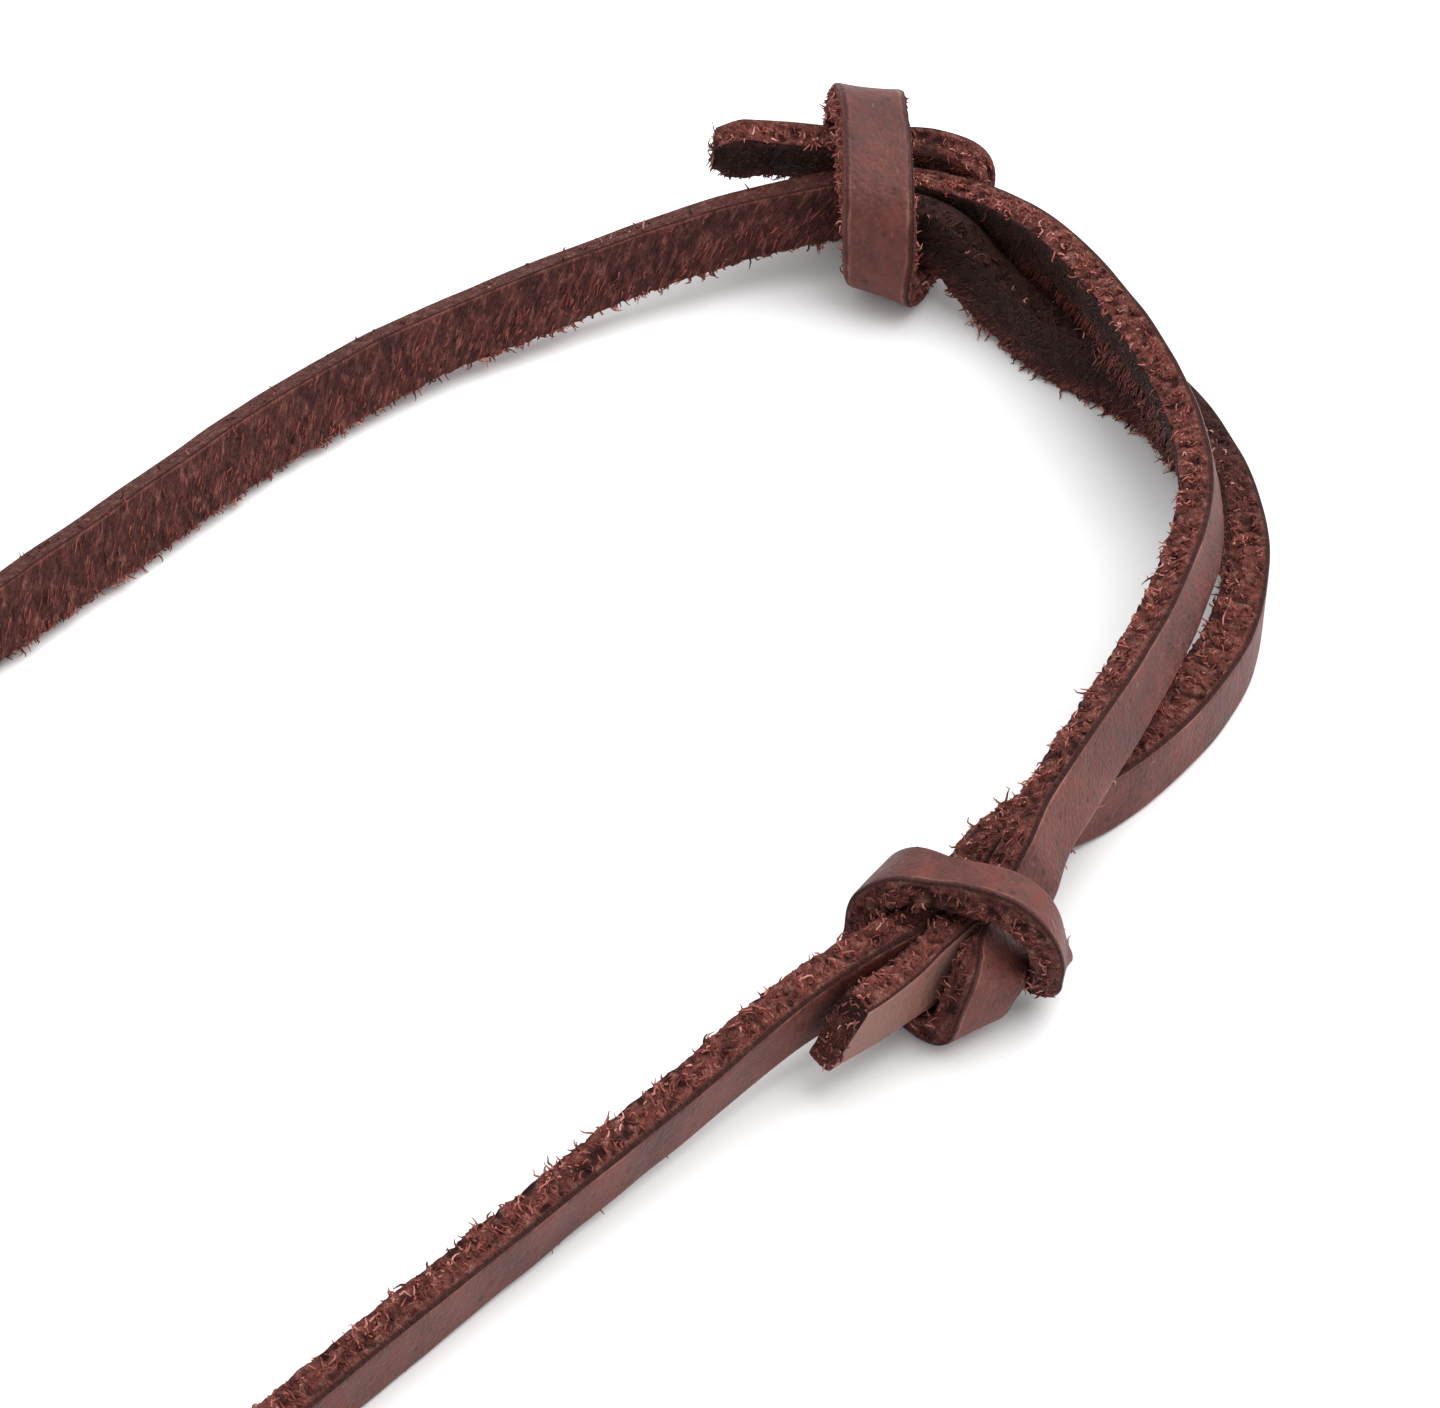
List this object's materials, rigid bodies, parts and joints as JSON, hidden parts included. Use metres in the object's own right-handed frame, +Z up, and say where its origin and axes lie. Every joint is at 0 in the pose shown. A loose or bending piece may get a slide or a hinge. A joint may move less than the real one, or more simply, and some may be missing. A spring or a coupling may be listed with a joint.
{
  "type": "leather cord necklace",
  "caption": "Flat leather lace necklace closed by sliding overhand knots with short cut tails, lying on its cut edge as a long open loop.",
  "frame": {"origin": "middle of the necklace's box in plan, on the surface it lies on", "axes": "+Z up; the loop's long way runs along Y, with the knotted closure at +Y and the front of the neck at -Y; +X towards the doubled strands"},
  "size_m": [0.0691, 0.2057, 0.0112],
  "materials": {
    "leather": "matt grain on the outer face, napped flesh inside, raw fibrous cut edges"
  },
  "bodies": {
    "root": {"neck_lace": "leather", "inner_strand": "leather", "outer_strand": "leather", "upper_knot_tail": "leather", "upper_knot_wrap": "leather", "lower_knot_tuck": "leather", "lower_knot_wrap": "leather", "lower_knot_tail": "leather"}
  },
  "joints": []
}
